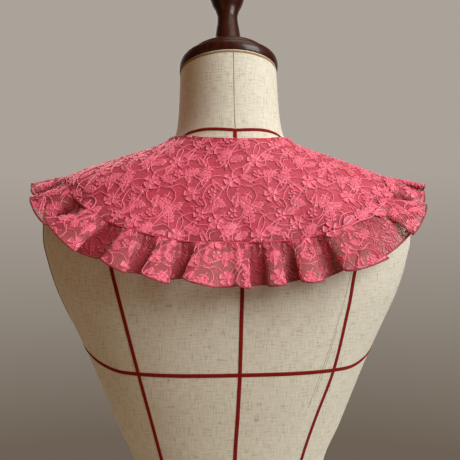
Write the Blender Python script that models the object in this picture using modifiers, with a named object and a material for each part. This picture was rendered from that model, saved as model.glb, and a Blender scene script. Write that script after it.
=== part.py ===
"""A detachable lace collar with a gathered frill, worn by a linen dress form that stands on its board.

Metres, +Z up. The form's front faces -Y and the wearer's left is +X. The origin is on the surface
that the board stands on, below the middle of the neck. Run it with
blender --background --python part.py, or from Blender's text editor.
"""

import math
from collections import namedtuple

import bpy
from mathutils import Vector
from mathutils.bvhtree import BVHTree

MM = 0.001

# The dress form, in millimetres.
BOARD_THICK = 12
BOARD_INSET = 6
BOARD_EDGE = 1.5
SEAM_GAP = 0.3
NECK_TOP = 639
NECK_TOP_RADIUS = 53.6
NECK_TOP_FORWARD = 12
NECK_TOP_TILT = 8.5
FORM_SEGMENTS = 44
FORM_RING_STEP = 22
# Going up: the heights above the surface, with the outline from the front, the back and the side,
# where the section is widest, how square it is, and how far in degrees it leans forward.
FORM_COLUMNS = ("height", "half_width", "back", "front", "widest", "square", "tilt")
FORM_SECTIONS = (
    (BOARD_THICK + SEAM_GAP, 152, 104, 98, 0, 2.3, 0),
    (24, 156, 107, 100, 0, 2.3, 0),
    (60, 150, 102, 99, 0, 2.3, 0),
    (110, 127, 87, 92, 0, 2.25, 0),
    (150, 107, 76, 88, 0, 2.2, 0),
    (185, 98, 71, 86, 0, 2.2, 0),
    (217, 103, 72, 87, 0, 2.2, 0),
    (256, 120.4, 78, 92, 0, 2.2, 0),
    (296, 136.2, 86, 99, 0, 2.25, 0),
    (335, 152.4, 92, 105, 0, 2.3, 0),
    (375, 171.3, 96, 105, 0, 2.35, 0),
    (402, 183.3, 98, 102, 0, 2.4, 0),
    (430, 192.4, 98, 96, 0, 2.4, 0),
    (455, 197.5, 96, 89, 0, 2.4, 0),
    (475, 197.5, 92, 83, 0, 2.4, 0),
    (490, 194, 87, 78, 0, 2.35, 0),
    (503, 187, 82, 74, 0, 2.3, 0),
    (512, 176, 77, 71, 0, 2.25, 0),
    (520, 160, 72.5, 68.5, 0, 2.2, 0),
    (529.5, 133, 67.5, 66, 0, 2.1, 0),
    (538.5, 106, 63, 64, 0, 2.0, 0),
    (547.5, 80, 59.5, 62.5, 0, 2.0, 0),
    (555, 66, 57, 62, -1, 2.0, 0),
    (565, 59.5, 55, 62, -2, 2.0, 1),
    (580, 56.5, 51, 62.5, -5, 2.0, 2.6),
    (610, 54.5, 46, 64, -9, 2.0, 6.1),
    (NECK_TOP, NECK_TOP_RADIUS, 41.6, 65.6, -NECK_TOP_FORWARD, 2.0, NECK_TOP_TILT),
)
BUST = {"height": 333, "apart": 84, "depth": 24, "spread_x": 50, "spread_z": 55}

# The turned cap and its handle, as radius and height above the foot of each.
CAP_PROFILE = (
    (54.5, 0), (55.5, 5), (54.5, 10), (51, 13.2), (45.5, 14.2), (44.5, 18), (41.5, 21.5), (36, 24), (14, 26.5),
)
HANDLE_PROFILE = (
    (18, 0), (16.5, 4.5), (14.8, 14.5), (13.6, 23.5), (12.2, 32.5), (11.7, 39.5), (13.4, 47.5),
    (17, 55), (19.4, 62), (20, 68), (18.4, 75.5), (14.8, 81.5), (10.5, 85.5), (9, 88.5),
    (10.5, 92.5), (9.5, 97), (5.5, 100),
)
TURNING_STEPS = 30

# Half of the collar, from the centre back (share 0) to the front end (share 1), in millimetres and in
# degrees round the neck from the centre back: where each section leaves the neckline and meets the
# frill, how wide the frill is there, and how far in degrees it stands up from the collar's own slope.
FRILL_WIDTH = 42
COLLAR_COLUMNS = (
    "share", "neck_deg", "neck_out", "neck_height", "seam_deg", "seam_out", "seam_height", "frill", "flare",
)
COLLAR_SECTIONS = (
    (0.00, 0, 64.0, 550.5, 0, 103, 449, FRILL_WIDTH, 9),
    (0.12, 22, 63.5, 552, 25, 114, 450, FRILL_WIDTH, 9),
    (0.25, 45, 62.0, 555, 49, 150, 465, FRILL_WIDTH, 0),
    (0.36, 67, 61.5, 557, 68, 166, 490, FRILL_WIDTH, -3),
    (0.48, 90, 61.5, 558.5, 90, 171, 518, 41, 5),
    (0.60, 111, 62.5, 552, 111, 167, 491, FRILL_WIDTH, -3),
    (0.72, 132, 65.5, 532, 130, 143, 452, FRILL_WIDTH, 3),
    (0.84, 150, 69.5, 508, 147, 124, 415, FRILL_WIDTH, 5),
    (0.91, 161, 73.0, 494, 156.5, 113, 404, 37, 6),
    (0.95, 168, 75.0, 488, 164.5, 105, 414, 22, 6),
    (0.98, 173, 76.5, 485, 170, 95, 440, 11, 5),
    (1.00, 176.5, 77.5, 483.5, 175.5, 83, 475, 3.5, 4),
)
LINING_THICK = 1.0
LACE_THICK = 1.0
FRILL_THICK = 1.0
CLEAR_OF_FORM = 2.4
COLLAR_ACROSS = 31
COLLAR_DOWN = 8
# Soft ripples of the collar's cloth, each a ridge that runs out from the neck.
Ripple = namedtuple("Ripple", "share height spread")
RIPPLES = (
    Ripple(-0.68, 1.5, 0.06),
    Ripple(-0.37, 1.6, 0.05),
    Ripple(-0.19, 1.2, 0.04),
    Ripple(0.10, 1.0, 0.05),
    Ripple(0.31, 1.5, 0.05),
    Ripple(0.66, 1.4, 0.05),
)

# The frill's folds over the back, from the wearer's right shoulder to the left, in millimetres along
# the seam from the centre back: how far each stands out or in at the hem, and leans along it.
Fold = namedtuple("Fold", "along out lean")
BACK_FOLD_ROWS = (
    (-250, 6, 0), (-229, -6, -2), (-208, 7, -3), (-186, -7, -3), (-160, 8, -5), (-124, -5, -3),
    (-86, 8, -2), (-70, -5, 0), (-54, 8, 1), (-38, -7, 1), (-24, -2, 1), (-11, -8, 1),
    (3, 8, 2), (14, 0, 3), (31, 8, 4), (52, -6, 4), (69, 9, 5), (86, -7, 2),
    (101, -2, 1), (118, -7, 1), (142, 9, 4), (168, -7, 3), (195, 7, 2), (222, -7, 1), (246, 6, 0),
)
BACK_FOLDS = tuple(Fold(*row) for row in BACK_FOLD_ROWS)
LAST_FOLD_FROM_END = 12
FRILL_FROM_NECK = 9
FOLD_STEPS = 4
FRILL_DOWN = 5
FRILL_SEAM_GAP = 1.3
UNDERCUT = 1.05
GATHER_SHARE = 0.06
DROOP = 1.5

# The fastening at the front of the neck: a shank button and a thread loop.
BUTTON_PROFILE = ((0, 0.6), (1.1, 0.6), (1.1, 2.8), (4.2, 3.1), (4.6, 3.9), (4.1, 4.7), (2.6, 5.2), (0, 5.4))
BUTTON_STEPS = 20
FASTENING_ROW = 3
LOOP_THICK = 0.9
LOOP_ABOVE_LACE = 1.2
LOOP_ABOVE_SHANK_FOOT = 1.9
LOOP_RADIUS = 1.95
LOOP_BEND_POINTS = 9


def clear_scene():
    for thing in list(bpy.data.objects):
        bpy.data.objects.remove(thing)


def collection_named(name):
    made = bpy.data.collections.new(name)
    bpy.context.scene.collection.children.link(made)
    return made


def material(name, colour, roughness, metallic=0.0):
    made = bpy.data.materials.new(name)
    made.use_nodes = True
    shader = made.node_tree.nodes["Principled BSDF"]
    shader.inputs["Base Color"].default_value = (*colour, 1)
    shader.inputs["Roughness"].default_value = roughness
    shader.inputs["Metallic"].default_value = metallic
    return made


def slopes(places, values):
    """Slopes for a curve through the rows that never overshoots them."""
    rises = [(b - a) / (q - p) for a, b, p, q in zip(values, values[1:], places, places[1:])]
    inner = [0.0 if a * b <= 0 else 2 * a * b / (a + b) for a, b in zip(rises, rises[1:])]
    return [rises[0], *inner, rises[-1]]


def table_reader(columns, rows):
    """A function that reads the table at any place of its first column, smoothly between its rows."""
    places = [row[0] for row in rows]
    curves = {}
    for index, column in enumerate(columns[1:], 1):
        values = [row[index] for row in rows]
        curves[column] = (values, slopes(places, values))

    def read(at):
        at = min(max(at, places[0]), places[-1])
        k = max(i for i in range(len(places) - 1) if places[i] <= at)
        width = places[k + 1] - places[k]
        u = (at - places[k]) / width
        found = {}
        for column, (values, slope) in curves.items():
            found[column] = (
                values[k] * (1 + 2 * u) * (1 - u) ** 2
                + slope[k] * width * u * (1 - u) ** 2
                + values[k + 1] * u * u * (3 - 2 * u)
                + slope[k + 1] * width * u * u * (u - 1)
            )
        return found

    return read


form_at = table_reader(FORM_COLUMNS, FORM_SECTIONS)
collar_at = table_reader(COLLAR_COLUMNS, COLLAR_SECTIONS)


def form_point(height, turn):
    """A point of the form's skin, in millimetres. turn goes round from the wearer's left side by the back."""
    row = form_at(height)
    across, along = math.cos(turn), math.sin(turn)
    power = 2 / row["square"]
    x = row["half_width"] * math.copysign(abs(across) ** power, across)
    reach = row["back"] - row["widest"] if along > 0 else row["front"] + row["widest"]
    y = row["widest"] + reach * math.copysign(abs(along) ** power, along)
    if along < 0:
        off_x = (abs(x) - BUST["apart"]) / BUST["spread_x"]
        off_z = (height - BUST["height"]) / BUST["spread_z"]
        y -= BUST["depth"] * math.exp(-off_x * off_x - off_z * off_z) * min(1, -2 * along)
    lift = (y - row["widest"]) * math.tan(math.radians(row["tilt"]))
    return Vector((x, y, height + lift))


def mesh_object(name, points, faces, look, home):
    """A mesh object from points in millimetres."""
    mesh = bpy.data.meshes.new(name)
    mesh.from_pydata([tuple(p * MM) for p in points], [], faces)
    mesh.materials.append(look)
    mesh.shade_smooth()
    made = bpy.data.objects.new(name, mesh)
    home.objects.link(made)
    return made


def loft(rings, closed):
    """Quads between neighbouring rings of equal length."""
    size = len(rings[0])
    last = size if closed else size - 1
    faces = []
    for level in range(len(rings) - 1):
        for i in range(last):
            a, b = level * size + i, level * size + (i + 1) % size
            faces.append((a, b, b + size, a + size))
    return faces


def make_form_torso(look, home):
    heights = [FORM_SECTIONS[0][0]]
    for row in FORM_SECTIONS[1:]:
        below = heights[-1]
        steps = math.ceil((row[0] - below) / FORM_RING_STEP)
        heights += [below + (row[0] - below) * (k + 1) / steps for k in range(steps)]
    turns = [2 * math.pi * i / FORM_SEGMENTS for i in range(FORM_SEGMENTS)]
    rings = [[form_point(height, turn) for turn in turns] for height in heights]
    points = [p for ring in rings for p in ring]
    faces = loft(rings, closed=True)
    faces.append(tuple(reversed(range(FORM_SEGMENTS))))
    faces.append(tuple(range(len(points) - FORM_SEGMENTS, len(points))))
    return mesh_object("form_torso", points, faces, look, home)


def make_board(look, home):
    """The board that closes the form and that it stands on."""
    turns = [2 * math.pi * i / FORM_SEGMENTS for i in range(FORM_SEGMENTS)]
    outline = [form_point(BOARD_THICK + SEAM_GAP, turn) for turn in turns]
    share = 1 - BOARD_INSET / FORM_SECTIONS[0][1]
    rings = [[Vector((p.x * share, p.y * share, z)) for p in outline] for z in (0, BOARD_THICK)]
    faces = loft(rings, closed=True)
    faces.append(tuple(reversed(range(FORM_SEGMENTS))))
    faces.append(tuple(range(FORM_SEGMENTS, 2 * FORM_SEGMENTS)))
    board = mesh_object("form_board", rings[0] + rings[1], faces, look, home)
    edge = board.modifiers.new("Rounded edge", "BEVEL")
    edge.width = BOARD_EDGE * MM
    edge.segments = 1
    edge.limit_method = "ANGLE"
    return board


def turned(name, profile, place, axis, steps, look, home):
    """A turned solid from a profile of radius and height along its axis, closed at both ends."""
    outline = [Vector((r, 0, z)) for r, z in profile]
    if outline[0].x:
        outline.insert(0, Vector((0, 0, profile[0][1])))
    if outline[-1].x:
        outline.append(Vector((0, 0, profile[-1][1])))
    outline.reverse()
    mesh = bpy.data.meshes.new(name)
    mesh.from_pydata([tuple(p * MM) for p in outline], [(i, i + 1) for i in range(len(outline) - 1)], [])
    mesh.materials.append(look)
    made = bpy.data.objects.new(name, mesh)
    made.location = place * MM
    made.rotation_euler = axis.to_track_quat("Z", "Y").to_euler()
    home.objects.link(made)
    screw = made.modifiers.new("Turning", "SCREW")
    screw.steps = steps
    screw.render_steps = steps
    screw.use_merge_vertices = True
    screw.merge_threshold = 0.00005
    screw.use_smooth_shade = True
    return made


def make_cap_and_handle(look, home):
    top = Vector((0, -NECK_TOP_FORWARD, NECK_TOP))
    tilt = math.radians(NECK_TOP_TILT)
    axis = Vector((0, -math.sin(tilt), math.cos(tilt)))
    cap_at = top + axis * SEAM_GAP
    handle_at = cap_at + axis * (CAP_PROFILE[-1][1] + SEAM_GAP)
    turned("form_cap", CAP_PROFILE, cap_at, axis, TURNING_STEPS, look, home)
    turned("form_handle", HANDLE_PROFILE, handle_at, axis, TURNING_STEPS, look, home)


def round_neck(degrees, out, height):
    """A point this far out from the neck's axis, this many degrees round from the centre back."""
    turn = math.radians(degrees)
    return Vector((out * math.sin(turn), out * math.cos(turn), height))


def ripple(share):
    """How far the collar's cloth stands up here, in millimetres."""
    return sum(r.height * math.exp(-(((share - r.share) / r.spread) ** 2)) for r in RIPPLES)


def clear_of(tree, point, gap):
    """The point, moved out to at least this gap from the form, all in millimetres."""
    for _ in range(3):
        near, normal, _, _ = tree.find_nearest(point * MM)
        depth = (point * MM - near).dot(normal) / MM
        if depth >= gap:
            break
        point = point + normal * (gap - depth)
    return point


def collar_point(tree, share, down):
    """A point on the inside of the collar's lining. share goes from -1 at the wearer's right front,
    by the centre back, to 1, and down from 0 at the neck to 1 at the frill's seam."""
    row = collar_at(abs(share))
    side = math.copysign(1, share)
    neck = round_neck(side * row["neck_deg"], row["neck_out"], row["neck_height"])
    seam = round_neck(side * row["seam_deg"], row["seam_out"], row["seam_height"])
    point = neck.lerp(seam, down)
    point = clear_of(tree, point, CLEAR_OF_FORM)
    outward = Vector((point.x, point.y, 60)).normalized()
    return point + outward * ripple(share) * math.sin(math.pi * min(1, down * 0.8)) ** 2


def grid_normals(grid):
    """The outward normal at each point of a grid of points."""
    rows, columns = len(grid), len(grid[0])
    normals = []
    for i in range(rows):
        line = []
        for j in range(columns):
            along = grid[min(i + 1, rows - 1)][j] - grid[max(i - 1, 0)][j]
            down = grid[i][min(j + 1, columns - 1)] - grid[i][max(j - 1, 0)]
            line.append(along.cross(down).normalized())
        normals.append(line)
    return normals


def moved_out(grid, normals, distance):
    return [[p + n * distance for p, n in zip(*pair)] for pair in zip(grid, normals)]


def cloth(name, grid, thick, look, home):
    """A wall of cloth whose inner face is the grid."""
    faces = [tuple(reversed(face)) for face in loft(grid, closed=False)]
    made = mesh_object(name, [p for line in grid for p in line], faces, look, home)
    wall = made.modifiers.new("Cloth thickness", "SOLIDIFY")
    wall.thickness = thick * MM
    wall.offset = 1
    wall.use_even_offset = False
    return made


def make_collar(tree, lace_look, lining_look, home):
    """The lining and the lace over it. Returns the grid of the lining's inside, and its normals."""
    shares = [i / COLLAR_ACROSS for i in range(-COLLAR_ACROSS, COLLAR_ACROSS + 1)]
    downs = [j / COLLAR_DOWN for j in range(COLLAR_DOWN + 1)]
    inside = [[collar_point(tree, share, down) for down in downs] for share in shares]
    normals = grid_normals(inside)
    cloth("collar_lining", inside, LINING_THICK, lining_look, home)
    lace = moved_out(inside, normals, LINING_THICK + SEAM_GAP)
    cloth("collar_lace", lace, LACE_THICK, lace_look, home)
    return inside, normals, shares


def folds_all_round(half_length):
    """The back's folds, and the same ones turned over the shoulders for the hidden front."""
    first, last = BACK_FOLDS[0].along, BACK_FOLDS[-1].along
    left = [Fold(2 * last - f.along, f.out, -f.lean) for f in reversed(BACK_FOLDS[:-1]) if f.along > 0]
    right = [Fold(2 * first - f.along, f.out, -f.lean) for f in reversed(BACK_FOLDS[1:]) if f.along < 0]
    end = half_length - FRILL_FROM_NECK
    inside = [fold for fold in (*right, *BACK_FOLDS, *left) if abs(fold.along) < end - LAST_FOLD_FROM_END]
    return [Fold(-end, 0, 0), *inside, Fold(end, 0, 0)]


def seam_path(middle, normals, shares):
    """The seam line, as places along it from the centre back, each with its own directions."""
    path = []
    along = 0.0
    for i, share in enumerate(shares):
        point = middle[i][-1]
        if path:
            along += (point - path[-1]["point"]).length
        ahead = middle[min(i + 1, len(shares) - 1)][-1] - middle[max(i - 1, 0)][-1]
        down = middle[i][-1] - middle[i][-2]
        tangent = ahead.normalized()
        outward = (down - tangent * down.dot(tangent)).normalized()
        normal = tangent.cross(outward).normalized()
        path.append({"along": along, "share": share, "point": point, "normal": normal, "out": outward})
    half = path[len(path) // 2]["along"]
    for place in path:
        place["along"] -= half
    return path


def on_path(path, along):
    """The seam's own frame at this place along it."""
    along = min(max(along, path[0]["along"]), path[-1]["along"])
    k = max(i for i in range(len(path) - 1) if path[i]["along"] <= along)
    a, b = path[k], path[k + 1]
    u = (along - a["along"]) / (b["along"] - a["along"])
    found = {key: a[key].lerp(b[key], u) for key in ("point", "normal", "out")}
    found["share"] = a["share"] + (b["share"] - a["share"]) * u
    return found


def frill_point(tree, path, start, end, phase, down):
    """A point on the frill's inner face between two folds. down goes from the seam, 0, to the hem, 1."""
    wave = (1 - math.cos(math.pi * phase)) / 2
    out = start.out + (end.out - start.out) * wave
    lean = start.lean + (end.lean - start.lean) * wave
    bulge = UNDERCUT * down * math.sin(2 * math.pi * phase) / (2 * math.pi)
    along = start.along + (end.along - start.along) * (phase + bulge) + lean * down
    at = on_path(path, along)
    row = collar_at(abs(at["share"]))
    full = row["frill"] / FRILL_WIDTH
    reach = FRILL_SEAM_GAP + down * row["frill"]
    flare = math.radians(row["flare"])
    size = full * (GATHER_SHARE + (1 - GATHER_SHARE) * down**0.8)
    point = at["point"] + (at["out"] * math.cos(flare) + at["normal"] * math.sin(flare)) * reach
    point = point + at["normal"] * out * size
    point.z -= DROOP * full * down * down
    return clear_of(tree, point, CLEAR_OF_FORM)


def make_frill(tree, path, look, home):
    """The gathered strip, in three lengths that meet at the shoulders, at the ends of the back's folds."""
    folds = folds_all_round(path[-1]["along"])
    first, last = folds.index(BACK_FOLDS[0]), folds.index(BACK_FOLDS[-1])
    lengths = (
        ("frill_right", folds[: first + 1]),
        ("frill_back", folds[first : last + 1]),
        ("frill_left", folds[last:]),
    )
    for name, stretch in lengths:
        columns = []
        for start, end in zip(stretch, stretch[1:]):
            columns += [(start, end, step / FOLD_STEPS) for step in range(FOLD_STEPS)]
        columns.append((stretch[-2], stretch[-1], 1.0))
        if name != "frill_right":
            columns[0] = (*stretch[:2], SEAM_GAP / (stretch[1].along - stretch[0].along))
        downs = [j / FRILL_DOWN for j in range(FRILL_DOWN + 1)]
        grid = [[frill_point(tree, path, *column, down) for down in downs] for column in columns]
        cloth(name, grid, FRILL_THICK, look, home)


def front_end(inside, normals, side):
    """The middle of one front end's narrow tab, on the lace, with its normal and the way down it."""
    column = -1 if side > 0 else 0
    line, face = inside[column], normals[column]
    inner = inside[column - side]
    normal = face[FASTENING_ROW]
    down = (line[-1] - line[0]).normalized()
    outer = LINING_THICK + SEAM_GAP + LACE_THICK
    return (line[FASTENING_ROW] + inner[FASTENING_ROW]) / 2 + normal * outer, normal, down


def make_fastening(inside, normals, button_look, thread_look, home):
    """A shank button on the wearer's left front, and a thread loop from the right one round its shank."""
    button_at, button_axis, _ = front_end(inside, normals, 1)
    turned("button", BUTTON_PROFILE, button_at, button_axis, BUTTON_STEPS, button_look, home)
    root, root_axis, down = front_end(inside, normals, -1)
    across = (button_at - root).normalized()
    foot = root + root_axis * LOOP_ABOVE_LACE
    round_shank = button_at + button_axis * LOOP_ABOVE_SHANK_FOOT
    route = [foot + down * LOOP_RADIUS]
    for i in range(LOOP_BEND_POINTS):
        turn = math.pi * (i / (LOOP_BEND_POINTS - 1) - 0.5)
        route.append(round_shank + (across * math.cos(turn) - down * math.sin(turn)) * LOOP_RADIUS)
    route.append(foot - down * LOOP_RADIUS)
    curve = bpy.data.curves.new("loop", "CURVE")
    curve.dimensions = "3D"
    curve.bevel_depth = LOOP_THICK / 2 * MM
    curve.bevel_resolution = 1
    curve.use_fill_caps = True
    line = curve.splines.new("POLY")
    line.points.add(len(route) - 1)
    for point, place in zip(line.points, route):
        point.co = (*(place * MM), 1)
    curve.materials.append(thread_look)
    home.objects.link(bpy.data.objects.new("loop", curve))


def main():
    clear_scene()
    home = collection_named("detachable_collar")
    lace = material("pink lace", (0.72, 0.16, 0.19), 0.6)
    lining = material("pink lining", (0.60, 0.09, 0.12), 0.5)
    linen = material("linen", (0.66, 0.58, 0.46), 0.9)
    wood = material("mahogany", (0.035, 0.008, 0.004), 0.25)
    ply = material("plain board", (0.45, 0.31, 0.18), 0.7)
    button = material("pink button", (0.70, 0.20, 0.24), 0.3)
    thread = material("pink thread", (0.62, 0.12, 0.16), 0.6)
    torso = make_form_torso(linen, home)
    make_board(ply, home)
    make_cap_and_handle(wood, home)
    tree = BVHTree.FromObject(torso, bpy.context.evaluated_depsgraph_get())
    inside, normals, shares = make_collar(tree, lace, lining, home)
    between_layers = (LINING_THICK + SEAM_GAP + LACE_THICK - FRILL_THICK) / 2
    make_frill(tree, seam_path(moved_out(inside, normals, between_layers), normals, shares), lace, home)
    make_fastening(inside, normals, button, thread, home)


main()
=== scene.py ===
# A lace collar with a gathered frill, worn by a linen dress form, seen from the back
import math
import random

import bpy
from mathutils import Matrix, Vector
from mathutils.bvhtree import BVHTree
from mathutils.geometry import barycentric_transform
from mathutils.kdtree import KDTree


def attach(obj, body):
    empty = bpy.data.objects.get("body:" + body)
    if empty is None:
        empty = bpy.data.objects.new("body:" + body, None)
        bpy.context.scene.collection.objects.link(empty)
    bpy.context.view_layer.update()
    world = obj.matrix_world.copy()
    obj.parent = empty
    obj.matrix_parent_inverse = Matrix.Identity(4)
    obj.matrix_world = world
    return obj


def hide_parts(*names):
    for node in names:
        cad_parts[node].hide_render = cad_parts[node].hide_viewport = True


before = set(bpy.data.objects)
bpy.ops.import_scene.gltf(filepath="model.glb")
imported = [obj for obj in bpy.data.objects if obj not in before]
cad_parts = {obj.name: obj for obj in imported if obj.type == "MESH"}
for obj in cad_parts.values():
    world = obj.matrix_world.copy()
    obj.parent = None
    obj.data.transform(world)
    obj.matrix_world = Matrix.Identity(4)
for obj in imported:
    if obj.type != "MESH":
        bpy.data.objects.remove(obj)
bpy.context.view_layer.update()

mm = 0.001
mergeWithin = 0.01  # millimetres
smoothBelow = {"cloth": 50, "lathe": 40, "lace": 60}  # degrees between faces
uvUnit = 100.0  # one unit of every cloth's UV map is this many millimetres of cloth
print("frame loaded")


# small helpers
def linear(code):
    parts = [int(code[i:i + 2], 16) / 255 for i in (1, 3, 5)]
    return (*[p / 12.92 if p <= 0.04045 else ((p + 0.055) / 1.055) ** 2.4 for p in parts], 1)


def mix(a, b, share):
    return a + (b - a) * share


def within(value, low=0.0, high=1.0):
    return min(high, max(low, value))


def hump(offset, spread):
    # 1 in the middle, falling off softly on both sides
    return math.exp(-((offset / spread) ** 2))


def runsAlong(points):
    # how far along the line each of its points lies
    runs = [0.0]
    for a, b in zip(points, points[1:]):
        runs.append(runs[-1] + (b - a).length)
    return runs


def addNode(tree, kind, settings=None, inputs=None, links=None, stops=()):
    made = tree.nodes.new(kind)
    for name, value in (settings or {}).items():
        setattr(made, name, value)
    for name, value in (inputs or {}).items():
        made.inputs[name].default_value = value
    for name, source in (links or {}).items():
        tree.links.new(source, made.inputs[name])
    for index, (place, code) in enumerate(stops):
        ramp = made.color_ramp.elements
        stop = ramp[index] if index < 2 else ramp.new(place)
        stop.position = place
        stop.color = linear(code)
    return made


def newMaterial(name, constants):
    made = bpy.data.materials.new(name)
    made.use_nodes = True
    shader = made.node_tree.nodes["Principled BSDF"]
    for socket, value in constants.items():
        shader.inputs[socket].default_value = value
    return made, made.node_tree, shader


def dressFinish(tree, shader, pattern, stops, relief=None):
    # the pattern's value gives the tone through the stops, and a fine relief
    tint = addNode(tree, "ShaderNodeValToRGB", links={"Fac": pattern}, stops=stops)
    tree.links.new(tint.outputs["Color"], shader.inputs["Base Color"])
    if relief:
        strength, depth = relief
        bump = addNode(tree, "ShaderNodeBump", inputs={"Strength": strength, "Distance": depth * mm},
                       links={"Height": pattern})
        tree.links.new(bump.outputs["Normal"], shader.inputs["Normal"])


def grainedFinish(name, constants, stops, size, detail=2.0, distortion=0.0, relief=None, onCloth=False):
    # a finish with a fine uneven grain, in the room or on the flat cloth; size is the grain's in
    # millimetres, one number or three
    made, tree, shader = newMaterial(name, constants)
    if onCloth:
        source, unit = addNode(tree, "ShaderNodeUVMap", {"uv_map": "cloth"}).outputs["UV"], uvUnit
    else:
        source, unit = addNode(tree, "ShaderNodeTexCoord").outputs["Object"], 1 / mm
    scale = 1.0
    if isinstance(size, tuple):
        stretch = addNode(tree, "ShaderNodeMapping", inputs={"Scale": [unit / s for s in size]},
                          links={"Vector": source})
        source = stretch.outputs["Vector"]
    else:
        scale = unit / size
    grain = addNode(tree, "ShaderNodeTexNoise",
                    inputs={"Scale": scale, "Detail": detail, "Distortion": distortion},
                    links={"Vector": source})
    dressFinish(tree, shader, grain.outputs["Fac"], stops, relief)
    return made


def selectOnly(piece):
    bpy.ops.object.select_all(action="DESELECT")
    piece.select_set(True)
    bpy.context.view_layer.objects.active = piece


def applyModifiers(piece):
    selectOnly(piece)
    for modifier in list(piece.modifiers):
        bpy.ops.object.modifier_apply(modifier=modifier.name)


def declare(piece, slotName, *nodes):
    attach(piece, "root")
    if nodes:
        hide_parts(*nodes)
    return piece


def meshPiece(name, points, faces, finish, kind="cloth"):
    mesh = bpy.data.meshes.new(name)
    mesh.from_pydata([tuple(p * mm) for p in points], [], faces)
    mesh.materials.append(finish)
    piece = bpy.data.objects.new(name, mesh)
    bpy.context.scene.collection.objects.link(piece)
    selectOnly(piece)
    bpy.ops.object.shade_smooth_by_angle(angle=math.radians(smoothBelow[kind]))
    return piece


def addShares(piece, name, values):
    # one number for each point; a thickened sheet has its points twice, in the same order
    layers = len(piece.data.vertices) // len(values)
    piece.data.attributes.new(name, "FLOAT", "POINT").data.foreach_set("value", list(values) * layers)


def gridPiece(name, grid, cloth, finish, thick=0.0, flip=False, capped=False):
    rows, columns = len(grid), len(grid[0])
    faces = []
    for i in range(rows - 1):
        for j in range(columns - 1):
            a = i * columns + j
            face = (a, a + 1, a + columns + 1, a + columns)
            faces.append(tuple(reversed(face)) if flip else face)
    if capped:
        faces.append(tuple(reversed(range(columns - 1))))
        faces.append(tuple(range((rows - 1) * columns, rows * columns - 1)))
    piece = meshPiece(name, [p for line in grid for p in line], faces, finish)
    uvMap = piece.data.uv_layers.new(name="cloth")
    spots = [spot for line in cloth for spot in line]
    for loop in piece.data.loops:
        x, y = spots[loop.vertex_index]
        uvMap.data[loop.index].uv = (x / uvUnit, y / uvUnit)
    selectOnly(piece)
    if capped:
        bpy.ops.object.mode_set(mode="EDIT")
        bpy.ops.mesh.select_all(action="SELECT")
        bpy.ops.mesh.remove_doubles(threshold=mergeWithin * mm)
        bpy.ops.object.mode_set(mode="OBJECT")
    if thick:
        wall = piece.modifiers.new("wall", "SOLIDIFY")
        wall.thickness = thick * mm
        wall.offset = 1
        wall.use_even_offset = False
        applyModifiers(piece)
    return piece


def sweptPiece(name, route, normals, profile, width, rise, finish, closed=False, flip=False):
    # a cord or a strip along the route; the profile is in shares of its width and rise
    points, faces = [], []
    count, size = len(route), len(profile)
    for i, (spot, normal) in enumerate(zip(route, normals)):
        ahead = route[(i + 1) % count if closed else min(i + 1, count - 1)]
        behind = route[i - 1 if closed else max(i - 1, 0)]
        side = (ahead - behind).normalized().cross(normal).normalized()
        points += [spot + side * across * width + normal * up * rise for across, up in profile]
    for i in range(count if closed else count - 1):
        for k in range(size):
            a, b = i * size + k, i * size + (k + 1) % size
            c = ((i + 1) % count) * size
            face = (a, c + k, c + (k + 1) % size, b)
            faces.append((a, *reversed(face[1:])) if flip else face)
    if not closed:
        near, far = tuple(range(size)), tuple(range(len(points) - size, len(points)))
        faces += [near[::-1], far] if flip else [near, far[::-1]]
    return meshPiece(name, points, faces, finish)


def cordProfile(sides=8):
    # a soft cord's section, in shares of its half width and half height
    turns = [2 * math.pi * k / sides for k in range(sides)]
    return [(math.cos(turn), math.sin(turn)) for turn in turns]


# camera, lights and floor, as the photograph has them
camera = {
    "place": (0.0668, 0.5862, 0.452), "heading": 175.04, "lens": 41.95, "sensor": 36.0,
    "shift": (0.0326, 0.0217), "nearest": 0.01,
}
eye = bpy.data.objects.new("camera", bpy.data.cameras.new("camera"))
bpy.context.scene.collection.objects.link(eye)
eye.location = camera["place"]
eye.rotation_euler = (math.radians(90), 0, math.radians(camera["heading"]))
eye.data.sensor_fit = "HORIZONTAL"
eye.data.sensor_width = camera["sensor"]
eye.data.lens = camera["lens"]
eye.data.shift_x, eye.data.shift_y = camera["shift"]
eye.data.clip_start = camera["nearest"]
bpy.context.scene.camera = eye
bpy.context.scene.view_settings.view_transform = "Standard"

lights = {
    # name: where it stands, what it faces, width, power in watts, colour
    "keyRight": ((-1.15, 1.0, 1.3), (0, 0, 0.45), 1.0, 31, "#fafaf6"),
    "topSoft": ((-0.4, 0.3, 1.9), (0, 0, 0.45), 1.0, 6, "#fff3e2"),
    "fillLeft": ((1.2, 1.1, 0.4), (0, 0, 0.4), 1.2, 2, "#ffb070"),
    "frontSoft": ((0.5, -1.7, 1.2), (0, 0, 0.4), 1.4, 8, "#fff6ee"),
}
for name, (place, aim, width, power, colour) in lights.items():
    lamp = bpy.data.objects.new(name, bpy.data.lights.new(name, "AREA"))
    bpy.context.scene.collection.objects.link(lamp)
    lamp.location = place
    lamp.rotation_euler = (Vector(aim) - Vector(place)).to_track_quat("-Z", "Y").to_euler()
    lamp.data.size = width
    lamp.data.energy = power
    lamp.data.color = linear(colour)[:3]

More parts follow.
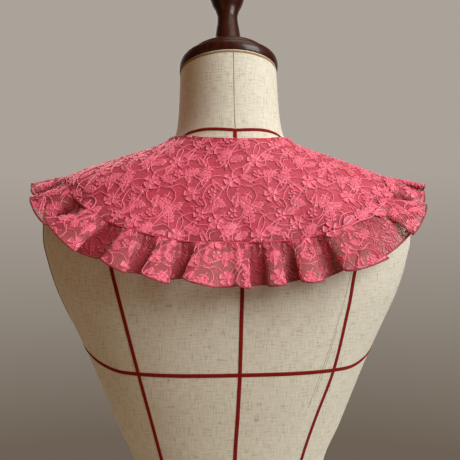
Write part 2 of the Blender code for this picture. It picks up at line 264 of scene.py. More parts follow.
# the room: a pale wall in front, falling off to warm shade at the sides and behind, and darker low down
room = {
    "wall": "#aba39a", "low": "#6c6154", "shade": "#5c4b38",
    "wallStarts": 0.45, "wallFull": 0.8, "darkBelow": -0.34, "paleAbove": 0.12,
}
world = bpy.data.worlds.new("room")
bpy.context.scene.world = world
world.use_nodes = True
tree = world.node_tree
facing = addNode(tree, "ShaderNodeTexCoord")
parts = addNode(tree, "ShaderNodeSeparateXYZ", links={0: facing.outputs["Generated"]})
rising = addNode(tree, "ShaderNodeMapRange",
                 inputs={"From Min": room["darkBelow"], "From Max": room["paleAbove"]},
                 links={"Value": parts.outputs["Z"]})
wall = addNode(tree, "ShaderNodeValToRGB", links={"Fac": rising.outputs["Result"]},
               stops=((0.0, room["low"]), (1.0, room["wall"])))
ahead = addNode(tree, "ShaderNodeMapRange",
                inputs={"From Min": -room["wallStarts"], "From Max": -room["wallFull"]},
                links={"Value": parts.outputs["Y"]})
roomTone = addNode(tree, "ShaderNodeMix", {"data_type": "RGBA"}, {6: linear(room["shade"])},
                   {0: ahead.outputs["Result"], 7: wall.outputs["Color"]})
tree.links.new(roomTone.outputs[2], tree.nodes["Background"].inputs["Color"])

floor = {"size": 0.92, "pale": "#cfc8be", "dark": "#c9c2b8"}
bpy.ops.object.select_all(action="DESELECT")
bpy.ops.mesh.primitive_plane_add(size=floor["size"], location=(0, 0, 0))
floorPiece = bpy.context.object
floorPiece.name = "floor"
# floor paint: pale and matt, faintly mottled
floorPaint, tree, shader = newMaterial("pale painted floor", {"Roughness": 0.8})
mottle = addNode(tree, "ShaderNodeTexNoise", inputs={"Scale": 3.0, "Detail": 3.0})
dressFinish(tree, shader, mottle.outputs["Fac"], ((0.3, floor["dark"]), (0.7, floor["pale"])))
floorPiece.data.materials.append(floorPaint)
print("camera, lights and floor set")


# reading the tables of sizes smoothly
def slopes(places, values):
    rises = [(b - a) / (q - p) for a, b, p, q in zip(values, values[1:], places, places[1:])]
    inner = [0.0 if a * b <= 0 else 2 * a * b / (a + b) for a, b in zip(rises, rises[1:])]
    return [rises[0], *inner, rises[-1]]


def tableReader(columns, rows):
    places = [row[0] for row in rows]
    curves = {}
    for index, column in enumerate(columns[1:], 1):
        values = [row[index] for row in rows]
        curves[column] = (values, slopes(places, values))

    def read(at):
        at = within(at, places[0], places[-1])
        k = max(i for i in range(len(places) - 1) if places[i] <= at)
        width = places[k + 1] - places[k]
        u = (at - places[k]) / width
        found = {}
        for column, (values, slope) in curves.items():
            found[column] = (
                values[k] * (1 + 2 * u) * (1 - u) ** 2
                + slope[k] * width * u * (1 - u) ** 2
                + values[k + 1] * u * u * (3 - 2 * u)
                + slope[k + 1] * width * u * u * (u - 1)
            )
        return found

    return read


# the form's linen cover
# plain-weave linen, drawn over a padded body: matt, with slubs along both threads
linen, tree, shader = newMaterial("natural linen plain weave", {"Roughness": 0.9, "Sheen Weight": 0.15})
weave = {"pitch": 1.2, "slub": 12.0, "light": "#e8e6d9", "dark": "#d8d3c1", "speck": "#a1977f"}
cloth = addNode(tree, "ShaderNodeUVMap", {"uv_map": "cloth"})
threads = []
for across in (0, 1):
    scale = [uvUnit / weave["slub"], uvUnit / weave["slub"], 1]
    scale[across] = uvUnit / weave["pitch"]
    run = addNode(tree, "ShaderNodeMapping", inputs={"Scale": scale}, links={"Vector": cloth.outputs["UV"]})
    threads.append(addNode(tree, "ShaderNodeTexNoise", inputs={"Scale": 1.0, "Detail": 3.0, "Roughness": 0.6},
                           links={"Vector": run.outputs["Vector"]}))
both = addNode(tree, "ShaderNodeMath", {"operation": "ADD"},
               links={0: threads[0].outputs["Fac"], 1: threads[1].outputs["Fac"]})
half = addNode(tree, "ShaderNodeMath", {"operation": "MULTIPLY"}, {1: 0.5}, {0: both.outputs[0]})
dressFinish(tree, shader, half.outputs[0],
            ((0.33, weave["speck"]), (0.43, weave["dark"]), (0.58, weave["light"])), (0.35, 0.4))

form = {
    "ringStep": 6, "segments": 168, "frontCut": 450,
    "columns": ("height", "halfWidth", "back", "front", "widest", "square", "tilt"),
    "sections": (
        (12.3, 152, 104, 98, 0, 2.3, 0), (24, 156, 107, 100, 0, 2.3, 0), (60, 150, 102, 99, 0, 2.3, 0),
        (110, 127, 87, 92, 0, 2.25, 0), (150, 107, 76, 88, 0, 2.2, 0), (185, 98, 71, 86, 0, 2.2, 0),
        (217, 103, 72, 87, 0, 2.2, 0), (256, 120.4, 78, 92, 0, 2.2, 0), (296, 136.2, 86, 99, 0, 2.25, 0),
        (335, 152.4, 92, 105, 0, 2.3, 0), (375, 171.3, 96, 105, 0, 2.35, 0),
        (402, 183.3, 98, 102, 0, 2.4, 0), (430, 192.4, 98, 96, 0, 2.4, 0),
        (455, 197.5, 96, 89, 0, 2.4, 0), (475, 197.5, 92, 83, 0, 2.4, 0), (490, 194, 87, 78, 0, 2.35, 0),
        (503, 187, 82, 74, 0, 2.3, 0), (512, 176, 77, 71, 0, 2.25, 0), (520, 160, 72.5, 68.5, 0, 2.2, 0),
        (529.5, 133, 67.5, 66, 0, 2.1, 0), (538.5, 106, 63, 64, 0, 2.0, 0),
        (547.5, 80, 59.5, 62.5, 0, 2.0, 0), (555, 66, 57, 62, -1, 2.0, 0),
        (565, 59.5, 55, 62, -2, 2.0, 1), (580, 56.5, 51, 62.5, -5, 2.0, 2.6),
        (610, 54.5, 46, 64, -9, 2.0, 6.1), (639, 53.6, 41.6, 65.6, -12, 2.0, 8.5),
    ),
    "bust": {"height": 333, "apart": 84, "depth": 24, "spreadX": 50, "spreadZ": 55},
}
formAt = tableReader(form["columns"], form["sections"])


def formPoint(height, turn):
    # turn goes round from the wearer's left side by the back
    row, bust = formAt(height), form["bust"]
    across, along = math.cos(turn), math.sin(turn)
    power = 2 / row["square"]
    x = row["halfWidth"] * math.copysign(abs(across) ** power, across)
    reach = row["back"] - row["widest"] if along > 0 else row["front"] + row["widest"]
    y = row["widest"] + reach * math.copysign(abs(along) ** power, along)
    if along < 0:
        swell = hump(abs(x) - bust["apart"], bust["spreadX"]) * hump(height - bust["height"], bust["spreadZ"])
        y -= bust["depth"] * swell * min(1, -2 * along)
    lift = (y - row["widest"]) * math.tan(math.radians(row["tilt"]))
    return Vector((x, y, height + lift))


def formAtX(height, x, back=True):
    row = formAt(height)
    across = min(1.0, abs(x) / row["halfWidth"]) ** (row["square"] / 2)
    along = math.sqrt(max(0.0, 1 - across * across))
    return formPoint(height, math.atan2(along if back else -along, math.copysign(across, x)))


def formAtY(height, y, side):
    row = formAt(height)
    reach = row["back"] - row["widest"] if y > row["widest"] else row["front"] + row["widest"]
    along = min(1.0, abs(y - row["widest"]) / reach) ** (row["square"] / 2)
    across = math.sqrt(max(0.0, 1 - along * along))
    return formPoint(height, math.atan2(math.copysign(along, y - row["widest"]), side * across))


heights = [form["sections"][0][0]]
for row in form["sections"][1:]:
    below = heights[-1]
    steps = math.ceil((row[0] - below) / form["ringStep"])
    heights += [below + (row[0] - below) * (k + 1) / steps for k in range(steps)]
turns = [2 * math.pi * i / form["segments"] for i in range(form["segments"] + 1)]
rings = [[formPoint(height, turn) for turn in turns] for height in heights]
# the linen is cut as a back and a front, each with its threads upright down its middle
coverCloth = []
quarter = form["segments"] // 4
for ring in rings:
    runs = runsAlong(ring)
    front = runs[3 * quarter] - form["frontCut"]
    middles = [runs[quarter] if i <= 2 * quarter else front for i in range(len(ring))]
    coverCloth.append([(run - middle, p.z) for run, middle, p in zip(runs, middles, ring)])
formCover = gridPiece("linenCover", rings, coverCloth, linen, capped=True)
declare(formCover, "linen", "form_torso")
formTree = BVHTree.FromObject(formCover, bpy.context.evaluated_depsgraph_get())
print("linen cover made")


def normalOnForm(point):
    return formTree.find_nearest(point * mm)[1]


# the red style tapes, the neck's seam and the pencil lines
# woven cotton tape, dyed dark red: matt, with fine ribs across it
tapeCotton = grainedFinish("dark red cotton tape", {"Roughness": 0.85, "Specular IOR Level": 0.2},
                           ((0.35, "#700e0a"), (0.65, "#961812")), 0.9, relief=(0.4, 0.3))
# a seam pressed into the linen: a thin strip in linen colour, darkened with the seam's painted shade
seamShade = grainedFinish("linen seam in shade", {"Roughness": 0.95},
                          ((0.35, "#8d8068"), (0.65, "#aa9d84")), 1.1)
# soft graphite: a thin grey line, dull and broken by the weave
graphite = grainedFinish("graphite pencil line", {"Roughness": 0.6},
                         ((0.35, "#8a8276"), (0.65, "#b5ab98")), 1.4)
# across and up, in shares of a strip's width and rise
stripProfile = ((-0.5, -0.2), (-0.47, 0.7), (-0.3, 1.0), (0.3, 1.0), (0.47, 0.7), (0.5, -0.2))


def ribbonOnForm(name, route, width, rise, finish, slotName, closed=False):
    # a flat strip with rounded edges, pressed on the linen
    normals = [normalOnForm(spot) for spot in route]
    piece = sweptPiece(name, route, normals, stripProfile, width, rise, finish, closed, flip=True)
    return declare(piece, slotName)


tapes = {
    "width": 3.7, "neckWidth": 3.3, "rise": 0.45, "armholeRise": 0.5, "ringRise": 0.55,
    "step": 6, "ringPoints": 150,
    # heights and how far across, from the board up
    "centreBack": ((14, 4.0), (240, 3.2), (284, 1.7), (326, 0.5), (384, -0.3), (409, -0.7), (561, 0.8)),
    "centreFront": ((14, 0.0), (330, 0.0), (527, 0.0)),
    "princessBackLeft": (
        (14, 90), (60, 84), (110, 72), (185, 62), (243, 75), (325, 95.1), (395, 112.2), (425, 119.6),
        (470, 128), (505, 132), (529, 133),
    ),
    "princessBackRight": (
        (14, -90), (60, -84), (110, -70), (185, -57), (234, -65.2), (278, -77.9), (327, -94.2),
        (383, -105), (422, -111.4), (470, -124), (505, -131), (529, -133),
    ),
    "princessFront": (
        (14, 80), (60, 75), (110, 64), (185, 52), (240, 60), (290, 75), (333, 84), (400, 97), (455, 113),
        (505, 127), (529, 133),
    ),
    # degrees round from the centre back, and heights
    "bust": ((0, 326), (45, 325), (62, 331), (75, 339), (95, 344), (120, 341), (150, 335), (180, 333)),
    "neckline": (
        (0, 561), (30, 562.8), (46, 561.6), (64, 556), (90, 549), (135, 536), (180, 528),
    ),
    "waist": ((0, 185), (90, 186), (180, 185)),
    "armhole": {"height": 432, "middle": -7.5, "halfHeight": 82, "halfDepth": 33.5, "points": 84},
}


def uprightRoute(rows, back):
    across = tableReader(("height", "x"), rows)
    low, high = rows[0][0], rows[-1][0]
    count = math.ceil((high - low) / tapes["step"])
    spots = [low + (high - low) * i / count for i in range(count + 1)]
    return [formAtX(z, across(z)["x"], back) for z in spots]


def ringRoute(rows):
    height = tableReader(("round", "z"), rows)
    route = []
    for i in range(tapes["ringPoints"]):
        degrees = 360 * i / tapes["ringPoints"]
        z = height(min(degrees, 360 - degrees))["z"]
        route.append(formPoint(z, math.radians(90 - degrees)))
    return route


for name, rows, back in (
    ("tapeCentreBack", tapes["centreBack"], True),
    ("tapeCentreFront", tapes["centreFront"], False),
    ("tapePrincessBackLeft", tapes["princessBackLeft"], True),
    ("tapePrincessBackRight", tapes["princessBackRight"], True),
    ("tapePrincessFrontLeft", tapes["princessFront"], False),
    ("tapePrincessFrontRight", tuple((z, -x) for z, x in tapes["princessFront"]), False),
):
    ribbonOnForm(name, uprightRoute(rows, back), tapes["width"], tapes["rise"], tapeCotton, "thread")
for name in ("bust", "neckline", "waist"):
    width = tapes["neckWidth"] if name == "neckline" else tapes["width"]
    ribbonOnForm("tape" + name.capitalize(), ringRoute(tapes[name]), width, tapes["ringRise"], tapeCotton,
                 "thread", closed=True)
hole = tapes["armhole"]
for sideName, side in (("Left", 1), ("Right", -1)):
    route = []
    for i in range(hole["points"]):
        turn = 2 * math.pi * i / hole["points"]
        z = hole["height"] + hole["halfHeight"] * math.sin(turn)
        route.append(formAtY(z, hole["middle"] + hole["halfDepth"] * math.cos(turn), side))
    ribbonOnForm("tapeArmhole" + sideName, route, tapes["width"], tapes["armholeRise"], tapeCotton, "thread",
                 closed=True)

lines = {
    # heights and how far across, width, rise
    "neckSeam": (((563, 0.6), (600, 0.8), (637, 0.6)), 0.9, 0.12, seamShade),
    "pencilLine": (
        ((289, -68.4), (331.9, -82.4), (373.8, -95.3), (407.6, -103.9), (440, -112)), 0.6, 0.06, graphite,
    ),
    "pencilLineAgain": (((300, -74.2), (331.9, -84.8), (366, -94.6)), 0.5, 0.06, graphite),
}
for name, (rows, width, rise, finish) in lines.items():
    ribbonOnForm(name, uprightRoute(rows, True), width, rise, finish, "linen")
print("tapes made")


# the turned cap and its handle
# mahogany, stained dark and varnished on the lathe: a deep red brown under a hard clear gloss
mahogany = grainedFinish(
    "varnished mahogany", {"Roughness": 0.36, "Coat Weight": 0.22, "Coat Roughness": 0.08, "IOR": 1.3},
    ((0.3, "#260a04"), (0.5, "#391208"), (0.75, "#4d1c0d")), (2.2, 28.0, 28.0), 5.0, 0.6, (0.05, 0.2))


def turnedPiece(name, profile, foot, axis, finish, steps):
    # lathe work: a disc, pulled up ring by ring to the profile's radius and height, then stood in place
    bpy.ops.object.select_all(action="DESELECT")
    radius, height = profile[0]
    bpy.ops.mesh.primitive_circle_add(vertices=steps, radius=radius * mm, fill_type="NGON",
                                      location=(0, 0, height * mm))
    piece = bpy.context.object
    piece.name = name
    bpy.ops.object.transform_apply(location=True)
    bpy.ops.object.mode_set(mode="EDIT")
    bpy.ops.mesh.select_all(action="SELECT")
    for nextRadius, nextHeight in profile[1:]:
        bpy.ops.mesh.extrude_region_move(TRANSFORM_OT_translate={"value": (0, 0, (nextHeight - height) * mm)})
        grow = nextRadius / radius
        bpy.ops.transform.resize(value=(grow, grow, 1), center_override=(0, 0, nextHeight * mm))
        radius, height = nextRadius, nextHeight
    bpy.ops.mesh.select_all(action="SELECT")
    bpy.ops.mesh.normals_make_consistent(inside=False)
    bpy.ops.object.mode_set(mode="OBJECT")
    piece.data.transform(Matrix.Translation(foot * mm) @ axis.to_track_quat("Z", "Y").to_matrix().to_4x4())
    piece.data.materials.append(finish)
    selectOnly(piece)
    bpy.ops.object.shade_smooth_by_angle(angle=math.radians(smoothBelow["lathe"]))
    return piece


def smoothProfile(rows, step):
    # more rings between the rows of a profile whose heights keep rising
    radius = tableReader(("z", "r"), tuple((z, r) for r, z in rows))
    low, high = rows[0][1], rows[-1][1]
    count = math.ceil((high - low) / step)
    heights = [low + (high - low) * i / count for i in range(count + 1)]
    return [(radius(height)["r"], height) for height in heights]


turning = {
    "tilt": 8.5, "top": (0, -12, 639), "gap": 0.3, "steps": 96, "ringStep": 1.5,
    "cap": (
        (54.5, 0), (55.3, 2.4), (55.5, 5), (55.2, 7.6), (54.5, 10), (53.2, 11.9), (51, 13.2),
        (48.4, 13.7), (46.4, 14.1), (45.4, 15), (45, 16.4), (44.5, 18), (43.4, 19.9), (41.5, 21.5),
        (39, 22.9), (36, 24), (30, 25.2), (22, 26.1), (14, 26.5),
    ),
    "handle": (
        (18, 0), (16.5, 4.5), (14.8, 14.5), (13.6, 23.5), (12.2, 32.5), (11.7, 39.5), (13.4, 47.5),
        (17, 55), (19.4, 62), (20, 68), (18.4, 75.5), (14.8, 81.5), (10.5, 85.5), (9, 88.5), (10.5, 92.5),
        (9.5, 97), (5.5, 100),
    ),
}
tilt = math.radians(turning["tilt"])
neckAxis = Vector((0, -math.sin(tilt), math.cos(tilt)))
capFoot = Vector(turning["top"]) + neckAxis * turning["gap"]
handleFoot = capFoot + neckAxis * (turning["cap"][-1][1] + turning["gap"])
cap = turnedPiece("woodenCap", turning["cap"], capFoot, neckAxis, mahogany, turning["steps"])
declare(cap, "mahogany", "form_cap")
handleProfile = smoothProfile(turning["handle"], turning["ringStep"])
handle = turnedPiece("woodenHandle", handleProfile, handleFoot, neckAxis, mahogany, turning["steps"])
declare(handle, "mahogany", "form_handle")

# cotton binding over the linen's top edge: a thin dull tan line under the cap
tanBinding = grainedFinish("tan bias binding", {"Roughness": 0.85}, ((0.35, "#8a6a48"), (0.65, "#b08c63")),
                           1.25)
binding = {"height": 637.2, "width": 2.2, "rise": 0.4, "points": 96}
topTurns = [2 * math.pi * i / binding["points"] for i in range(binding["points"])]
topRing = [formPoint(binding["height"], turn) for turn in topTurns]
ribbonOnForm("neckTopEdge", topRing, binding["width"], binding["rise"], tanBinding, "linen", closed=True)

# birch plywood, sanded and oiled: pale with long grain, dull
plywood = grainedFinish("birch plywood", {"Roughness": 0.6}, ((0.3, "#9c7a52"), (0.7, "#c5a37a")),
                        (80.0, 3.3, 3.3), 4.0, relief=(0.1, 0.2))
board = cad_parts["form_board"]
board = bpy.data.objects[board] if isinstance(board, str) else board
for slot in board.material_slots:
    slot.material = plywood
print("cap, handle and board made")


# the collar's cloths
# pink polyester taffeta: close fine ribs and a soft sheen
taffeta = grainedFinish("pink taffeta lining", {"Roughness": 0.55, "Sheen Weight": 0.3},
                        ((0.35, "#d6445c"), (0.65, "#ea526c")), (1.1, 30.0, 100.0), 3.0, relief=(0.2, 0.3),
                        onCloth=True)


def shadeInFolds(tree, shader, tint, dark):
    # where the frill folds in, its colour is darkened toward a painted shade, as far as its fold share says
    foldDepth = addNode(tree, "ShaderNodeAttribute", {"attribute_name": "fold"})
    shaded = addNode(tree, "ShaderNodeMix", {"data_type": "RGBA"}, {7: linear(dark)},
                     {0: foldDepth.outputs["Fac"], 6: tint.outputs["Color"]})
    tree.links.new(shaded.outputs[2], shader.inputs["Base Color"])
    return foldDepth


# nylon net: fine threads round open cells, so that what lies behind shows through
net, tree, shader = newMaterial("pink nylon net", {"Roughness": 0.6, "Sheen Weight": 0.2})
netSize = {
    "cell": 1.9, "clouds": 9.0, "light": "#e85a76", "dark": "#d04a62", "shade": "#a41a30",
    "thread": 0.42, "hole": 0.11, "shadeCover": 0.44,
}
cloth = addNode(tree, "ShaderNodeUVMap", {"uv_map": "cloth"})
cells = addNode(tree, "ShaderNodeTexVoronoi", {"feature": "DISTANCE_TO_EDGE"},
                {"Scale": uvUnit / netSize["cell"], "Randomness": 0.55}, {"Vector": cloth.outputs["UV"]})
cover = addNode(tree, "ShaderNodeMapRange",
                inputs={"From Min": 0.05, "From Max": 0.30, "To Min": netSize["thread"],
                        "To Max": netSize["hole"]},
                links={"Value": cells.outputs["Distance"]})
clouds = addNode(tree, "ShaderNodeTexNoise", inputs={"Scale": uvUnit / netSize["clouds"], "Detail": 2.0},
                 links={"Vector": cloth.outputs["UV"]})
tint = addNode(tree, "ShaderNodeValToRGB", links={"Fac": clouds.outputs["Fac"]},
               stops=((0.3, netSize["dark"]), (0.7, netSize["light"])))
relief = addNode(tree, "ShaderNodeBump", {"invert": True}, {"Strength": 0.3, "Distance": 0.0003},
                 {"Height": cells.outputs["Distance"]})
# the net darkens to painted shade in the frill's folds, and is also made closer there, as if it lay double
foldDepth = shadeInFolds(tree, shader, tint, netSize["shade"])
closer = addNode(tree, "ShaderNodeMath", {"operation": "MULTIPLY_ADD"}, {1: netSize["shadeCover"]},
                 {0: foldDepth.outputs["Fac"], 2: cover.outputs["Result"]})
tree.links.new(relief.outputs["Normal"], shader.inputs["Normal"])
tree.links.new(closer.outputs[0], shader.inputs["Alpha"])

# rayon cord and close-worked threads of the lace's flowers: raised and slightly glossy, the cords brighter
cordwork, tree, shader = newMaterial("pink rayon lace motif", {"Roughness": 0.42, "Sheen Weight": 0.3})
stitch = {
    "pitch": 2.7, "strandTone": 1.1,
    "light": "#fd809c", "mid": "#f16282", "fill": "#de4e68", "gap": "#b23046", "shade": "#a82438",
}
place = addNode(tree, "ShaderNodeTexCoord")
strands = addNode(tree, "ShaderNodeTexNoise",
                  inputs={"Scale": 1000 / stitch["pitch"], "Detail": 3.0, "Distortion": 0.8},
                  links={"Vector": place.outputs["Object"]})
cordTone = addNode(tree, "ShaderNodeAttribute", {"attribute_name": "cord"})
shade = addNode(tree, "ShaderNodeMath", {"operation": "MULTIPLY_ADD"},
                {1: stitch["strandTone"], 2: -stitch["strandTone"] / 2}, {0: strands.outputs["Fac"]})
total = addNode(tree, "ShaderNodeMath", {"operation": "ADD"},
                links={0: shade.outputs[0], 1: cordTone.outputs["Fac"]})
# the lowest stop, gap, is painted shade in the small holes between the worked threads
tint = addNode(tree, "ShaderNodeValToRGB", links={"Fac": total.outputs[0]},
               stops=((0.08, stitch["gap"]), (0.24, stitch["fill"]), (0.6, stitch["mid"]),
                      (0.95, stitch["light"])))
# the motifs darken to the same painted shade in the frill's folds
shadeInFolds(tree, shader, tint, stitch["shade"])
relief = addNode(tree, "ShaderNodeBump", inputs={"Strength": 0.5, "Distance": 0.0004},
                 links={"Height": strands.outputs["Fac"]})
tree.links.new(relief.outputs["Normal"], shader.inputs["Normal"])

# overlocked polyester thread of the rolled hem: close, darker than the net
hemThread = grainedFinish("rolled hem thread", {"Roughness": 0.6, "Sheen Weight": 0.2},
                          ((0.35, "#82182a"), (0.65, "#ac3044")), 1.1, relief=(0.5, 0.4))

collar = {
    "columns": (
        "share", "neckDeg", "neckOut", "neckHeight", "seamDeg", "seamOut", "seamHeight", "frill", "flare",
    ),
    "sections": (
        (0.00, 0, 64.0, 550.5, 0, 103, 449, 42, 9), (0.12, 22, 63.5, 552, 25, 114, 450, 42, 9),
        (0.25, 45, 62.0, 555, 49, 150, 465, 42, 0), (0.36, 67, 61.5, 557, 68, 166, 490, 42, -3),
        (0.48, 90, 61.5, 558.5, 90, 171, 518, 41, 5), (0.60, 111, 62.5, 552, 111, 167, 491, 42, -3),
        (0.72, 132, 65.5, 532, 130, 143, 452, 42, 3), (0.84, 150, 69.5, 508, 147, 124, 415, 42, 5),
        (0.91, 161, 73.0, 494, 156.5, 113, 404, 37, 6), (0.95, 168, 75.0, 488, 164.5, 105, 414, 22, 6),
        (0.98, 173, 76.5, 485, 170, 95, 440, 11, 5), (1.00, 176.5, 77.5, 483.5, 175.5, 83, 475, 3.5, 4),
    ),
    # ridges that run out from the neck: share, height, spread
    "ripples": (
        (-0.68, 1.5, 0.06), (-0.37, 1.6, 0.05), (-0.19, 1.2, 0.04), (0.10, 1.0, 0.05), (0.31, 1.5, 0.05),
        (0.66, 1.4, 0.05),
    ),
    # they are highest this share of the way down, and point out and up by this height over the axis
    "rippleTop": 0.625, "rippleUp": 60,
    "clear": 2.4, "clearTries": 3, "acrossSteps": 150, "downSteps": 36,
    "liningThick": 0.8, "laceAt": 1.3, "laceThick": 0.4, "motifAt": 1.75, "motifOffset": (-44, 6),
    "seamAt": 0.65, "edgeAt": 0.95,
    # the wearer's right side sits a little higher than the left
    "rightLift": 7.0, "rightAt": 0.33, "rightSpread": 0.17,
    "rightTip": 0.24, "rightTipAt": 0.49, "rightTipSpread": 0.05,
}
collarAt = tableReader(collar["columns"], collar["sections"])


def roundNeck(degrees, out, height):
    turn = math.radians(degrees)
    return Vector((out * math.sin(turn), out * math.cos(turn), height))


def clearOf(tree, point, gap):
    for _ in range(collar["clearTries"]):
        near, normal, _, _ = tree.find_nearest(point * mm)
        depth = (point * mm - near).dot(normal) / mm
        if depth >= gap:
            break
        point = point + normal * (gap - depth)
    return point


def collarPoint(share, down):
    # share goes from -1 at the wearer's right front, by the centre back, to 1; down from the neck to the seam
    row = collarAt(abs(share))
    side = math.copysign(1, share)
    neck = roundNeck(side * row["neckDeg"], row["neckOut"], row["neckHeight"])
    seam = roundNeck(side * row["seamDeg"], row["seamOut"], row["seamHeight"])
    if side < 0:
        seam.z += collar["rightLift"] * hump(-share - collar["rightAt"], collar["rightSpread"])
    point = clearOf(formTree, neck.lerp(seam, down), collar["clear"])
    lift = sum(height * hump(share - at, spread) for at, height, spread in collar["ripples"])
    outward = Vector((point.x, point.y, collar["rippleUp"])).normalized()
    return point + outward * lift * math.sin(math.pi * min(1, 0.5 * down / collar["rippleTop"])) ** 2


def gridNormals(grid):
    rows, columns = len(grid), len(grid[0])
    normals = []
    for i in range(rows):
        line = []
        for j in range(columns):
            along = grid[min(i + 1, rows - 1)][j] - grid[max(i - 1, 0)][j]
            down = grid[i][min(j + 1, columns - 1)] - grid[i][max(j - 1, 0)]
            line.append(along.cross(down).normalized())
        normals.append(line)
    return normals


def movedOut(grid, normals, distance):
    return [[p + n * distance for p, n in zip(*pair)] for pair in zip(grid, normals)]


def nextCorner(a, b, toA, toB, side):
    # the corner of a flat triangle, from two placed corners and its two other sides
    base = b - a
    size = base.length
    along = (toA * toA - toB * toB + size * size) / (2 * size)
    off = math.sqrt(max(0.0, toA * toA - along * along))
    unit = base / size
    return a + unit * along + Vector((-unit.y, unit.x)) * off * side


def unrolled(grid):
    # the flat cut of the collar, from the centre back outwards: the neck and seam lines laid out flat
    middle = len(grid) // 2
    tops, feet = [line[0] for line in grid], [line[-1] for line in grid]
    flatTops = {middle: Vector((0, 0))}
    flatFeet = {middle: Vector((0, -(tops[middle] - feet[middle]).length))}
    for step in (1, -1):
        i = middle
        while 0 <= i + step < len(grid):
            k = i + step
            across, slant = (tops[k] - tops[i]).length, (tops[k] - feet[i]).length
            flatTops[k] = nextCorner(flatTops[i], flatFeet[i], across, slant, step)
            depth, across = (tops[k] - feet[k]).length, (feet[k] - feet[i]).length
            flatFeet[k] = nextCorner(flatTops[k], flatFeet[i], depth, across, step)
            i = k
    flat = []
    for i, line in enumerate(grid):
        last = len(line) - 1
        flat.append([flatTops[i].lerp(flatFeet[i], j / last) for j in range(last + 1)])
    return flat


shares = [i / collar["acrossSteps"] for i in range(-collar["acrossSteps"], collar["acrossSteps"] + 1)]
downs = [j / collar["downSteps"] for j in range(collar["downSteps"] + 1)]
inside = [[collarPoint(share, down) for down in downs] for share in shares]
insideNormals = gridNormals(inside)
collarFlat = unrolled(inside)
collarCut = [[(p.x, p.y) for p in line] for line in collarFlat]
lining = gridPiece("collarLining", inside, collarCut, taffeta, collar["liningThick"], flip=True)
declare(lining, "lining", "collar_lining")
laceGrid = movedOut(inside, insideNormals, collar["laceAt"])
laceBody = gridPiece("collarLaceNet", laceGrid, collarCut, net, collar["laceThick"], flip=True)
declare(laceBody, "lace", "collar_lace")


# the gathered frill
frill = {
    "width": 42, "seamGap": 0.2, "fromNeck": 9, "lastFold": 12, "gatherShare": 0.16, "droop": 1.5,
    "foldSteps": 20, "downSteps": 24, "thick": 0.4, "measuredAt": 20, "motifOffset": (20, 30),
    # how the folds open out on the way down: their tucks, their depth, and the small puckers at the seam
    "tuckPower": 0.7, "depthPower": 0.8, "frontTuck": 1.6, "endTuck": 1.0, "foldRise": -0.15,
    "puckerPitch": 5.6, "puckerHeight": 0.6, "puckerDrift": 0.7, "driftPitch": 19, "puckerIn": 9,
    "puckerPower": 2.5,
    # the painted shade in the folds: from how far in and over how much, and how it fades at the seam and the
    # fronts
    "shadeFrom": 5.0, "shadeOver": 13.0, "seamShade": 0.35, "shadeDown": 5,
    "frontFrom": 260, "frontOver": 100, "frontShade": 0.45,
    # where the hem is caught up at the edge of a fold: along the strip, how much, how wide
    "raised": (
        (43, 9, 10), (155, 8, 12), (-172, 7, 11), (-46, 4, 6), (8, 2.5, 4), (76, 5, 8), (109, 5, 8),
        (-78, 4, 7), (-105, -2, 12),
    ),
    # over the shoulders the frill shows a little shorter
    "shorter": 0.15, "shorterAt": 0.35, "shorterSpread": 0.11,
    # the folds stand up from here on, over the shoulders
    "standsFrom": 0.22, "standsOver": 0.2,
    # the rolled hem's half width and half height, and how far out it lies
    "hemAcross": 0.95, "hemRise": 0.6, "hemAt": 0.25,
    # along the seam from the centre back, how far each fold stands out or in, how far it leans,
    # and how far the cloth tucks under itself on the way to the next
    "folds": (
        (-250, 6, 0, 1.6), (-229, -6, -2, 1.6), (-208, 8, -3, 1.6), (-186, -8, -3, 2.6),
        (-160, 10, -5, 2.3), (-124, -2, -3, 2.0), (-86, 9, -2, 1.4), (-70, -7, 0, 1.5), (-54, 11, 1, 2.4),
        (-38, -9, 1, 1.2), (-27, 4, 1, 1.0), (-13, -9, 1, 2.6), (3, 10, 2, 1.2), (14, 3, 3, 1.2),
        (33, 11, 4, 2.9), (52, -8, 4, 2.2), (69, 11, 5, 2.2), (84, -8, 2, 1.2), (101, 3, 1, 1.2),
        (117, -8, 1, 2.3), (142, 11, 4, 2.8), (168, -8, 3, 1.5), (195, 9, 2, 1.6), (222, -8, 1, 1.6),
        (246, 6, 0, 1.6),
    ),
}


def foldsAllRound(halfLength):
    # the back's folds are mirrored at its two ends to go on round the fronts
    back = frill["folds"]
    first, last = back[0][0], back[-1][0]
    tuck, endTuck = frill["frontTuck"], frill["endTuck"]
    left = [(2 * last - along, out, -lean, tuck) for along, out, lean, _ in reversed(back[:-1]) if along > 0]
    right = [(2 * first - along, out, -lean, tuck) for along, out, lean, _ in reversed(back[1:]) if along < 0]
    end = halfLength - frill["fromNeck"]
    between = [fold for fold in (*right, *back, *left) if abs(fold[0]) < end - frill["lastFold"]]
    return [(-end, 0, 0, endTuck), *between, (end, 0, 0, endTuck)]


def seamPath(middle):
    path = []
    runs = runsAlong([line[-1] for line in middle])
    half = runs[len(runs) // 2]
    for i, share in enumerate(shares):
        ahead = middle[min(i + 1, len(shares) - 1)][-1] - middle[max(i - 1, 0)][-1]
        down = middle[i][-1] - middle[i][-2]
        tangent = ahead.normalized()
        outward = (down - tangent * down.dot(tangent)).normalized()
        path.append({"along": runs[i] - half, "share": share, "point": middle[i][-1], "out": outward,
                     "normal": tangent.cross(outward).normalized()})
    return path


def onPath(path, along):
    along = within(along, path[0]["along"], path[-1]["along"])
    low, high = 0, len(path) - 2
    while low < high:
        k = (low + high + 1) // 2
        low, high = (k, high) if path[k]["along"] <= along else (low, k - 1)
    a, b = path[low], path[low + 1]
    u = (along - a["along"]) / (b["along"] - a["along"])
    found = {key: a[key].lerp(b[key], u) for key in ("point", "normal", "out")}
    found["share"] = mix(a["share"], b["share"], u)
    return found


